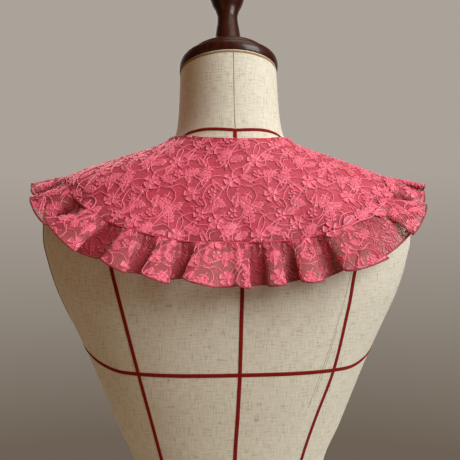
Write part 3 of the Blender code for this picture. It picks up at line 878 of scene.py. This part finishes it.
def frillPoint(path, start, end, phase, down):
    wave = (1 - math.cos(math.pi * phase)) / 2
    out, lean = mix(start[1], end[1], wave), mix(start[2], end[2], wave)
    tuck = start[3] * down ** frill["tuckPower"] * math.sin(2 * math.pi * phase) / (2 * math.pi)
    along = mix(start[0], end[0], phase + tuck) + lean * down
    at = onPath(path, along)
    row = collarAt(abs(at["share"]))
    full = row["frill"] / frill["width"]
    longer = collar["rightTip"] * hump(-at["share"] - collar["rightTipAt"], collar["rightTipSpread"])
    longer -= frill["shorter"] * hump(abs(at["share"]) - frill["shorterAt"], frill["shorterSpread"])
    reach = frill["seamGap"] + down * row["frill"] * (1 + longer)
    flare = math.radians(row["flare"])
    depth = full * mix(frill["gatherShare"], 1, down ** frill["depthPower"])
    uneven = frill["puckerDrift"] * math.sin(along / frill["driftPitch"])
    pucker = frill["puckerHeight"] * full * math.sin(2 * math.pi * along / frill["puckerPitch"] + uneven)
    # across the back the folds stand out and not up, because the cloth hangs
    over = within((abs(at["share"]) - frill["standsFrom"]) / frill["standsOver"])
    normal = at["normal"]
    level = Vector((normal.x, normal.y, normal.z * mix(frill["foldRise"], 1, over))).normalized()
    point = at["point"] + (at["out"] * math.cos(flare) + normal * math.sin(flare)) * reach
    point += level * out * depth
    point += normal * pucker * min(1, down * frill["puckerIn"]) * (1 - down) ** frill["puckerPower"]
    strip = mix(start[0], end[0], phase)
    caught = sum(height * hump(strip - centre, spread) for centre, height, spread in frill["raised"])
    point.z += (caught - frill["droop"] * full) * down * down
    return clearOf(formTree, point, collar["clear"])


def foldShade(start, end, phase, down):
    # how much painted shade a spot gets: 0 on a fold that stands out, 1 at the bottom of one that goes in
    out = mix(start[1], end[1], (1 - math.cos(math.pi * phase)) / 2)
    depth = within((frill["shadeFrom"] - out) / frill["shadeOver"])
    past = (abs(mix(start[0], end[0], phase)) - frill["frontFrom"]) / frill["frontOver"]
    fade = within(1 - past, frill["frontShade"])
    return depth * depth * (3 - 2 * depth) * min(1.0, frill["seamShade"] + down * frill["shadeDown"]) * fade


path = seamPath(movedOut(inside, insideNormals, collar["seamAt"]))
folds = foldsAllRound(path[-1]["along"])
first, last = folds.index(frill["folds"][0]), folds.index(frill["folds"][-1])
frillLengths = {
    "Right": (folds[:first + 1], "frill_right"),
    "Back": (folds[first:last + 1], "frill_back"),
    "Left": (folds[last:], "frill_left"),
}
frillDowns = [j / frill["downSteps"] for j in range(frill["downSteps"] + 1)]
frills = {}
for sideName, (stretch, node) in frillLengths.items():
    columns = []
    for start, end in zip(stretch, stretch[1:]):
        columns += [(start, end, k / frill["foldSteps"]) for k in range(frill["foldSteps"])]
    columns.append((stretch[-2], stretch[-1], 1.0))
    grid = [[frillPoint(path, *column, down) for down in frillDowns] for column in columns]
    runs = runsAlong([line[frill["measuredAt"]] for line in grid])
    cut = [[(run, -depth) for depth in runsAlong(line)] for run, line in zip(runs, grid)]
    piece = gridPiece("frill" + sideName, grid, cut, net, frill["thick"], flip=True)
    declare(piece, "frill", node)
    # how much painted shade each point of the frill gets in its folds
    shades = [foldShade(*column, down) for column in columns for down in frillDowns]
    addShares(piece, "fold", shades)
    normals = gridNormals(grid)
    hemNormals = [line[-1] for line in normals]
    hemRoute = [line[-1] + n * frill["hemAt"] for line, n in zip(grid, hemNormals)]
    hem = sweptPiece("frillHem" + sideName, hemRoute, hemNormals, cordProfile(), frill["hemAcross"],
                     frill["hemRise"], hemThread)
    declare(hem, "frill")
    frills[sideName] = {
        "piece": piece, "grid": grid, "cut": cut, "length": runs[-1], "normals": normals, "shades": shades,
        "hem": hem,
    }
    seamLength = (stretch[-1][0] - stretch[0][0]) * mm
    print("frill", sideName, "%.3f m long flat over %.3f m of seam" % (runs[-1] * mm, seamLength))


# the turned edges: neck, fronts and the seam that takes in the frill
edges = {
    "across": 0.8, "rise": 1.0, "allowance": 0.90, "allowanceAt": 0.85, "allowanceThick": 0.35, "steps": 6,
}
middleGrid = movedOut(inside, insideNormals, collar["edgeAt"])
edgeSpots = [list(zip(*pair)) for pair in zip(middleGrid, insideNormals)]
border = [line[0] for line in edgeSpots]
border += edgeSpots[-1][1:]
border += [line[-1] for line in reversed(edgeSpots[:-1])]
border += reversed(edgeSpots[0][1:-1])
edgePiece = sweptPiece("collarEdge", *zip(*border), cordProfile(), edges["across"], edges["rise"], taffeta,
                       closed=True)
declare(edgePiece, "lining")
turnedDowns = [mix(edges["allowance"], 1, j / edges["steps"]) for j in range(edges["steps"] + 1)]
turnedGrid, turnedCut = [], []
for line, flatLine, normals in zip(inside, collarFlat, insideNormals):
    spots, cut = [], []
    for down in turnedDowns:
        at = down * collar["downSteps"]
        j = min(int(at), collar["downSteps"] - 1)
        spots.append(line[j].lerp(line[j + 1], at - j) + normals[j] * edges["allowanceAt"])
        cut.append(tuple(flatLine[j].lerp(flatLine[j + 1], at - j)))
    turnedGrid.append(spots)
    turnedCut.append(cut)
allowance = gridPiece("seamAllowance", turnedGrid, turnedCut, hemThread, edges["allowanceThick"], flip=True)
declare(allowance, "lining")
print("turned edges made")


# the lace's flowers, leaves and vines, charted and repeated
# across, a motif measures 1, and its heights are in millimetres
cordStep = 0.2
# a cord's section, across and up, in half widths and heights
cordSection = ((-1, -0.3), (-0.5, 1), (0.5, 1), (1, -0.3))


def padShape(outline, heights=(-0.15, 0.36, 0.12, 0.16), scales=(1.0, 0.89, 0.74),
             tones=(0.75, 1.0, 0.3, 0.3)):
    # a soft pad with a corded rim: outer edge, rim, inner ring and middle
    cx = sum(p[0] for p in outline) / len(outline)
    cy = sum(p[1] for p in outline) / len(outline)
    size = len(outline)
    points, tone = [], []
    for scale, height, shade in zip(scales, heights, tones):
        points += [(cx + (x - cx) * scale, cy + (y - cy) * scale, height) for x, y in outline]
        tone += [shade] * size
    points.append((cx, cy, heights[-1]))
    tone.append(tones[-1])
    faces = []
    for level in range(len(scales) - 1):
        for k in range(size):
            a, b = level * size + k, level * size + (k + 1) % size
            faces.append((a, b, b + size, a + size))
    start = (len(scales) - 1) * size
    faces += [(start + k, start + (k + 1) % size, len(points) - 1) for k in range(size)]
    return {"points": points, "faces": faces, "tone": tone}


def joined(shapes):
    points, faces, tone = [], [], []
    for shape in shapes:
        faces += [tuple(i + len(points) for i in face) for face in shape["faces"]]
        points += shape["points"]
        tone += shape["tone"]
    return {"points": points, "faces": faces, "tone": tone}


def turnedShape(shape, degrees, dx=0.0):
    c, s = math.cos(math.radians(degrees)), math.sin(math.radians(degrees))
    return {**shape, "points": [(dx + x * c - y * s, x * s + y * c, h) for x, y, h in shape["points"]]}


def raisedShape(shape, height):
    # the same shape, worked higher over its own edge
    return {**shape, "points": [(x, y, h + height if h > 0 else h) for x, y, h in shape["points"]]}


flower = {
    "petals": 5, "length": 0.72, "width": 0.80, "from": 0.24, "points": 11, "rise": 0.3,
    "notch": 0.12, "notchSpread": 0.32, "roundness": 0.86, "broadTip": 0.30,
    "ring": 0.24, "ringPoints": 8, "cordWidth": 0.07, "cordHeight": 0.45,
}


def petal():
    # broad at its tip, with a small notch in the middle
    outline = []
    for k in range(flower["points"]):
        turn = 2 * math.pi * k / flower["points"]
        notch = flower["notch"] * hump(min(turn, 2 * math.pi - turn), flower["notchSpread"])
        x = flower["from"] + flower["length"] * (0.5 + 0.5 * math.cos(turn) - notch)
        breadth = flower["roundness"] + flower["broadTip"] * math.cos(turn)
        outline.append((x, flower["width"] / 2 * math.sin(turn) * breadth))
    return padShape(outline, tones=(0.8, 1.0, 0.62, 0.5))


def leaflet(length, width):
    # a narrow worked blade, brighter along its edge
    outline = [(0, 0), (0.3, -0.42), (0.65, -0.5), (1, 0), (0.65, 0.5), (0.3, 0.42)]
    return padShape([(x * length, y * width) for x, y in outline], (-0.15, 0.32, 0.28, 0.30),
                    (1.0, 0.78, 0.5), (0.6, 0.85, 0.4, 0.35))


leaf = {
    "width": 0.56, "teeth": 4, "ribGap": 0.03, "base": 0.05, "belly": 0.48, "toothFoot": 0.74, "power": 0.85,
    "rib": ((-0.15, 0), (0.4, 0.02), (0.95, 0)), "ribWidth": 0.025, "ribHeight": 0.6,
}


def halfLeaf(side):
    # one long, one side of the rib: the edge goes out and in by its teeth
    outline = [(0, leaf["ribGap"] * side)]
    for k in range(1, 2 * leaf["teeth"]):
        t = k / (2 * leaf["teeth"])
        saw = 1.0 if k % 2 else leaf["toothFoot"]
        breadth = leaf["base"] + leaf["belly"] * math.sin(math.pi * t ** leaf["power"]) * saw
        outline.append((t, side * leaf["width"] * breadth))
    outline.append((1, leaf["ribGap"] * side))
    outline.append((0.5, side * leaf["base"] * leaf["width"]))
    return padShape(outline if side > 0 else list(reversed(outline)), scales=(1.0, 0.86, 0.66))


def cordShape(knots, width, height, step, closed=False):
    # a raised cord; width is its half width
    line = smoothLine(knots, step)
    count = len(line) - 1 if closed else len(line)
    points, faces = [], []
    for i in range(count):
        ax, ay = line[(i + 1) % count if closed else min(i + 1, count - 1)]
        bx, by = line[i - 1 if closed else max(i - 1, 0)]
        run = math.hypot(ax - bx, ay - by)
        nx, ny = -(ay - by) / run, (ax - bx) / run
        x, y = line[i]
        points += [(x + nx * k * width, y + ny * k * width, z * height) for k, z in cordSection]
    size = len(cordSection)
    for i in range(count if closed else count - 1):
        for k in range(size - 1):
            a, b = i * size + k, ((i + 1) % count) * size + k
            faces.append((a, b, b + 1, a + 1))
    return {"points": points, "faces": faces, "tone": [1.0] * len(points)}


def smoothLine(knots, step):
    # an even-stepped soft curve through the knots
    ends = [knots[0], *knots, knots[-1]]
    line = []
    for a, b, c, d in zip(ends, ends[1:], ends[2:], ends[3:]):
        count = max(2, round(math.dist(b, c) / step))
        for k in range(count):
            t = k / count
            line.append(tuple(
                q + 0.5 * ((r - p) * t + (2 * p - 5 * q + 4 * r - s) * t**2 + (3 * q - p - 3 * r + s) * t**3)
                for p, q, r, s in zip(a, b, c, d)
            ))
    line.append(knots[-1])
    return line


ringTurns = [2 * math.pi * k / flower["ringPoints"] for k in range(flower["ringPoints"] + 1)]
ringKnots = [(flower["ring"] * math.cos(turn), flower["ring"] * math.sin(turn)) for turn in ringTurns]
ringCord = cordShape(ringKnots, flower["cordWidth"], flower["cordHeight"], cordStep, closed=True)
petals = [turnedShape(petal(), 360 * k / flower["petals"]) for k in range(flower["petals"])]
flowerShape = raisedShape(joined([*petals, ringCord]), flower["rise"])
leafRib = cordShape(leaf["rib"], leaf["ribWidth"], leaf["ribHeight"], cordStep)
leafShape = joined([halfLeaf(1), halfLeaf(-1), leafRib])
spray = {
    # how far along the stem, turn, length
    "pairs": ((0.02, 62, 0.34), (0.18, 54, 0.42), (0.34, 46, 0.42), (0.50, 38, 0.36), (0.64, 28, 0.28)),
    "tip": (0.72, 0, 0.28), "leafletWidth": 0.17,
    "stem": ((-0.2, 0), (0.3, 0.02), (0.8, 0)), "stemWidth": 0.03, "stemHeight": 0.5,
}
leafletPlaces = [(x, turn * side, size) for x, turn, size in spray["pairs"] for side in (1, -1)]
leafletPlaces.append(spray["tip"])
leaflets = [turnedShape(leaflet(size, spray["leafletWidth"]), turn, x) for x, turn, size in leafletPlaces]
sprayStem = cordShape(spray["stem"], spray["stemWidth"], spray["stemHeight"], cordStep)
sprayShape = joined([*leaflets, sprayStem])
bud = {"leafletWidth": 0.42, "turns": (0, 75, -75)}
budShape = joined([turnedShape(leaflet(1.0, bud["leafletWidth"]), turn) for turn in bud["turns"]])
motifShapes = {"flowers": flowerShape, "leaves": leafShape, "sprays": sprayShape, "buds": budShape}
chart = {
    # the repeat's width and height; each motif's size and turn vary within the wobbles
    "width": 88, "height": 92, "scale": 0.86, "sizeWobble": (0.94, 1.06), "turnWobble": (-6, 6),
    # x, y, radius, turn
    "flowers": (
        (16, 14, 10.2, 10), (60, 31, 9.8, 50), (33, 57, 10.0, 84), (78, 73, 9.6, 20), (7, 82, 8.0, 0),
        (84, 44, 6.4, 30), (46, 6, 5.8, 60), (60, 84, 6.2, 0), (30, 40, 6.0, 40), (81, 15, 5.4, 15),
    ),
    # x, y, length, turn
    "leaves": (
        (26, 4, 18, -30), (46, 40, 19, 128), (70, 18, 19, 40), (20, 27, 18, 96), (45, 62, 19, -28),
        (66, 47, 17, 76), (20, 66, 16, 206), (58, 90, 19, 100), (90, 84, 17, 150), (28, 88, 18, 24),
        (0, 48, 17, 64), (70, 66, 16, 200), (4, 0, 12, 44),
    ),
    "sprays": (
        (4, 28, 22, 112), (42, 14, 20, -62), (73, 58, 20, 140), (42, 72, 22, 84), (84, 8, 20, 205),
        (24, 40, 19, 172), (62, 72, 18, -70), (10, 62, 17, 20), (36, 30, 17, 30),
    ),
    # the first ones join the flowers, and the last ones are wide thin arcs
    "vines": (
        ((16, 14), (28, 26), (44, 23), (60, 31)), ((60, 31), (74, 36), (92, 30), (104, 14)),
        ((60, 31), (57, 44), (46, 49), (33, 57)), ((33, 57), (46, 70), (62, 66), (78, 73)),
        ((78, 73), (92, 80), (108, 70), (121, 57)), ((33, 57), (22, 58), (14, 70), (7, 82)),
        ((7, 82), (1, 92), (4, 100), (16, 106)), ((78, 73), (82, 90), (72, 108), (60, 123)),
        ((16, 14), (5, 20), (-2, 34), (6, 46), (14, 40), (10, 32)),
        ((78, 73), (66, 60), (72, 48), (84, 50), (86, 60), (80, 62)),
        ((33, 57), (26, 76), (34, 90), (46, 98)), ((60, 31), (66, 16), (60, 4), (46, 6)),
        ((7, 82), (18, 84), (30, 78), (34, 66)), ((2, 20), (10, 34), (24, 36), (38, 30), (50, 36)),
        ((50, 36), (60, 46), (62, 60), (54, 74)), ((54, 74), (44, 84), (30, 84), (20, 76)),
        ((20, 76), (8, 70), (-6, 72), (-16, 82)), ((40, 0), (34, 10), (36, 20), (46, 26)),
        ((72, 82), (66, 76), (54, 78), (48, 88), (52, 98)),
        ((66, 20), (76, 26), (86, 22), (92, 10), (88, 0)), ((84, 44), (90, 56), (86, 66), (78, 73)),
        ((14, 46), (20, 52), (18, 62), (8, 66)),
    ),
    "vineWidth": 0.5, "vineHeight": 0.42, "vineStep": 2.4,
    # x, y, length, turn
    "buds": (
        (52, 22, 5.5, 20), (8, 36, 5, 130), (24, 50, 5.5, 60), (70, 80, 5, 100), (86, 64, 5.5, 80),
        (14, 92, 5.5, 270), (46, 32, 5, 90),
    ),
}


edgeReach = 0.4  # millimetres past the cloth's edge that still count as on it


def draper(cut, grid, normals, lift):
    # from a spot on the flat cloth to the same spot on the worn cloth
    columns = len(grid[0])
    flatPoints = [Vector((x, y, 0)) for line in cut for x, y in line]
    spots = [p for line in grid for p in line]
    sides = [n for line in normals for n in line]
    faces = []
    for i in range(len(grid) - 1):
        for j in range(columns - 1):
            a = i * columns + j
            faces += [(a, a + 1, a + columns), (a + 1, a + columns + 1, a + columns)]
    flatTree = BVHTree.FromPolygons(flatPoints, faces)

    def place(x, y, height):
        near, _, index, _ = flatTree.find_nearest(Vector((x, y, 0)), edgeReach)
        if near is None:
            return None
        corners = [flatPoints[i] for i in faces[index]]
        spot = barycentric_transform(near, *corners, *[spots[i] for i in faces[index]])
        side = barycentric_transform(near, *corners, *[sides[i] for i in faces[index]]).normalized()
        return spot + side * (lift + height)

    return place


# a motif's middle and four spots round it, in shares of its size
reachTests = ((0, 0), (0.7, 0), (-0.7, 0), (0, 0.7), (0, -0.7))


def stamp(store, place, shape, x, y, size, turn):
    # a motif that doesn't reach the cloth is left out; vines, stamped at size 1, run on to its edge
    if size > 1 and all(place(x + a * size, y + b * size, 0) is None for a, b in reachTests):
        return
    c, s = math.cos(math.radians(turn)) * size, math.sin(math.radians(turn)) * size
    spots = [place(x + px * c - py * s, y + px * s + py * c, h) for px, py, h in shape["points"]]
    keep = {}
    for face in shape["faces"]:
        if any(spots[i] is None for i in face):
            continue
        for i in face:
            if i not in keep:
                keep[i] = len(store["points"])
                store["points"].append(spots[i])
                store["tone"].append(shape["tone"][i])
        store["faces"].append(tuple(keep[i] for i in face))


def motifPiece(name, store, made=None):
    piece = meshPiece(name, store["points"], store["faces"], cordwork, "lace")
    addShares(piece, "cord", store["tone"])
    if made:
        # motifs on the frill take the painted fold shade of the nearest point of the frill
        spots = [p for line in made["grid"] for p in line]
        nearby = KDTree(len(spots))
        for index, spot in enumerate(spots):
            nearby.insert(spot, index)
        nearby.balance()
        addShares(piece, "fold", [made["shades"][nearby.find(p)[1]] for p in store["points"]])
    print(name, len(store["faces"]), "faces")
    return piece


vineShapes = []
for knots in chart["vines"]:
    knots = [(x * chart["scale"], y * chart["scale"]) for x, y in knots]
    vineShapes.append(cordShape(knots, chart["vineWidth"], chart["vineHeight"], chart["vineStep"]))


def laceMotifs(name, cut, grid, normals, lift, seed, offset, made=None):
    # the chart's repeat, set side by side over the whole cut
    place = draper(cut, grid, normals, lift)
    xs = [x for line in cut for x, _ in line]
    ys = [y for line in cut for _, y in line]
    wobble = random.Random(seed)
    store = {"points": [], "faces": [], "tone": []}
    width, height = chart["width"] * chart["scale"], chart["height"] * chart["scale"]
    for ix in range(math.floor(min(xs) / width) - 1, math.ceil(max(xs) / width) + 1):
        for iy in range(math.floor(min(ys) / height) - 1, math.ceil(max(ys) / height) + 1):
            ox, oy = ix * width + offset[0], iy * height + offset[1]
            for kind, shape in motifShapes.items():
                for x, y, size, turn in chart[kind]:
                    size *= chart["scale"] * wobble.uniform(*chart["sizeWobble"])
                    turn += wobble.uniform(*chart["turnWobble"])
                    stamp(store, place, shape, ox + x * chart["scale"], oy + y * chart["scale"], size, turn)
            for shape in vineShapes:
                stamp(store, place, shape, ox, oy, 1.0, 0)
    return motifPiece(name, store, made)


laceSeeds = {"collar": 3, "Right": 11, "Back": 12, "Left": 13}
collarMotifs = laceMotifs("collarLaceMotifs", collarCut, inside, insideNormals, collar["motifAt"],
                          laceSeeds["collar"], collar["motifOffset"])
declare(collarMotifs, "lace")
for index, (sideName, made) in enumerate(frills.items()):
    offset = (frill["motifOffset"][0] * index, frill["motifOffset"][1])
    piece = laceMotifs("frillMotifs" + sideName, made["cut"], made["grid"], made["normals"], frill["thick"],
                       laceSeeds[sideName], offset, made)
    declare(piece, "frill")
# on the wearer's right the lace's own corded edge runs on over the frill
overSeam = {
    "flowers": ((-84, -1, 9.4, 20), (-196, -2, 9.0, 50), (-222, 2, 8.0, 10)),
    "leaves": ((-96, -1, 17, 160), (-132, 1, 18, -150), (-168, -3, 18, 170), (-182, 2, 17, 20)),
    "sprays": ((-112, -3, 18, 175), (-150, -1, 19, 195), (-208, 0, 18, 160)),
    "vine": (
        (-78, 1), (-96, 2.5), (-112, 1.0), (-128, 3), (-146, 0.5), (-163, 2.5), (-180, 0), (-196, 1),
        (-214, 3), (-232, 0),
    ),
    "lift": 2.7, "vineWidth": 0.55, "vineHeight": 0.6,
}


def seamPlace(x, y, height):
    at = onPath(path, x)
    flare = math.radians(collarAt(abs(at["share"]))["flare"]) if y < 0 else 0
    slope = at["out"] * math.cos(flare) + at["normal"] * math.sin(flare)
    return at["point"] - slope * y + at["normal"] * (overSeam["lift"] - collar["seamAt"] + height)


store = {"points": [], "faces": [], "tone": []}
for kind in ("flowers", "leaves", "sprays"):
    for x, y, size, turn in overSeam[kind]:
        stamp(store, seamPlace, motifShapes[kind], x, -y, size, turn)
seamKnots = [(x, -y) for x, y in overSeam["vine"]]
seamVine = cordShape(seamKnots, overSeam["vineWidth"], overSeam["vineHeight"], chart["vineStep"])
stamp(store, seamPlace, seamVine, 0, 0, 1.0, 0)
edgeMotifs = declare(motifPiece("laceEdgeMotifs", store), "lace")
print("lace motifs made")


# the fastening at the front of the neck
# cast polyester with a pearl finish: a soft pink gloss
pearl = grainedFinish(
    "pink pearl polyester", {"Roughness": 0.25, "Coat Weight": 0.5, "Coat Roughness": 0.1, "IOR": 1.54},
    ((0.3, "#cf6a76"), (0.7, "#eb99a3")), 3.8, distortion=1.5)

fastening = {
    "down": 0.375, "inner": 1 / 31, "onLace": 2.3, "turningSteps": 40,
    # the button's radius and height, up from its shank's foot
    "button": (
        (0.6, 0.6), (1.1, 0.7), (1.1, 2.8), (3.2, 2.9), (4.2, 3.1), (4.55, 3.5), (4.6, 3.9), (4.4, 4.4),
        (4.0, 4.75), (3.3, 5.05), (2.0, 5.3), (0.6, 5.4),
    ),
    "loopThick": 0.9, "aboveLace": 1.2, "aboveShankFoot": 1.9, "loopRadius": 1.95, "bendPoints": 17,
    "loopSides": 10,
}


def frontEnd(side):
    rowFace = round(fastening["down"] * collar["downSteps"])
    outer = collarPoint(side, fastening["down"])
    inner = collarPoint(side * (1 - fastening["inner"]), fastening["down"])
    normal = insideNormals[-1 if side > 0 else 0][rowFace]
    down = (collarPoint(side, 1) - collarPoint(side, 0)).normalized()
    return (outer + inner) / 2 + normal * fastening["onLace"], normal, down


buttonAt, buttonAxis, _ = frontEnd(1)
button = turnedPiece("shankButton", fastening["button"], buttonAt, buttonAxis, pearl,
                     fastening["turningSteps"])
declare(button, "button", "button")
root, rootAxis, tabDown = frontEnd(-1)
towards = (buttonAt - root).normalized()
foot = root + rootAxis * fastening["aboveLace"]
roundShank = buttonAt + buttonAxis * fastening["aboveShankFoot"]
radius, half = fastening["loopRadius"], fastening["loopThick"] / 2
loopRoute = [foot + tabDown * radius]
for i in range(fastening["bendPoints"]):
    turn = math.pi * (i / (fastening["bendPoints"] - 1) - 0.5)
    loopRoute.append(roundShank + (towards * math.cos(turn) - tabDown * math.sin(turn)) * radius)
loopRoute.append(foot - tabDown * radius)
loopProfile = cordProfile(fastening["loopSides"])
loop = sweptPiece("threadLoop", loopRoute, [buttonAxis] * len(loopRoute), loopProfile, half, half, hemThread)
declare(loop, "thread", "loop")
print("fastening made")


print("done")
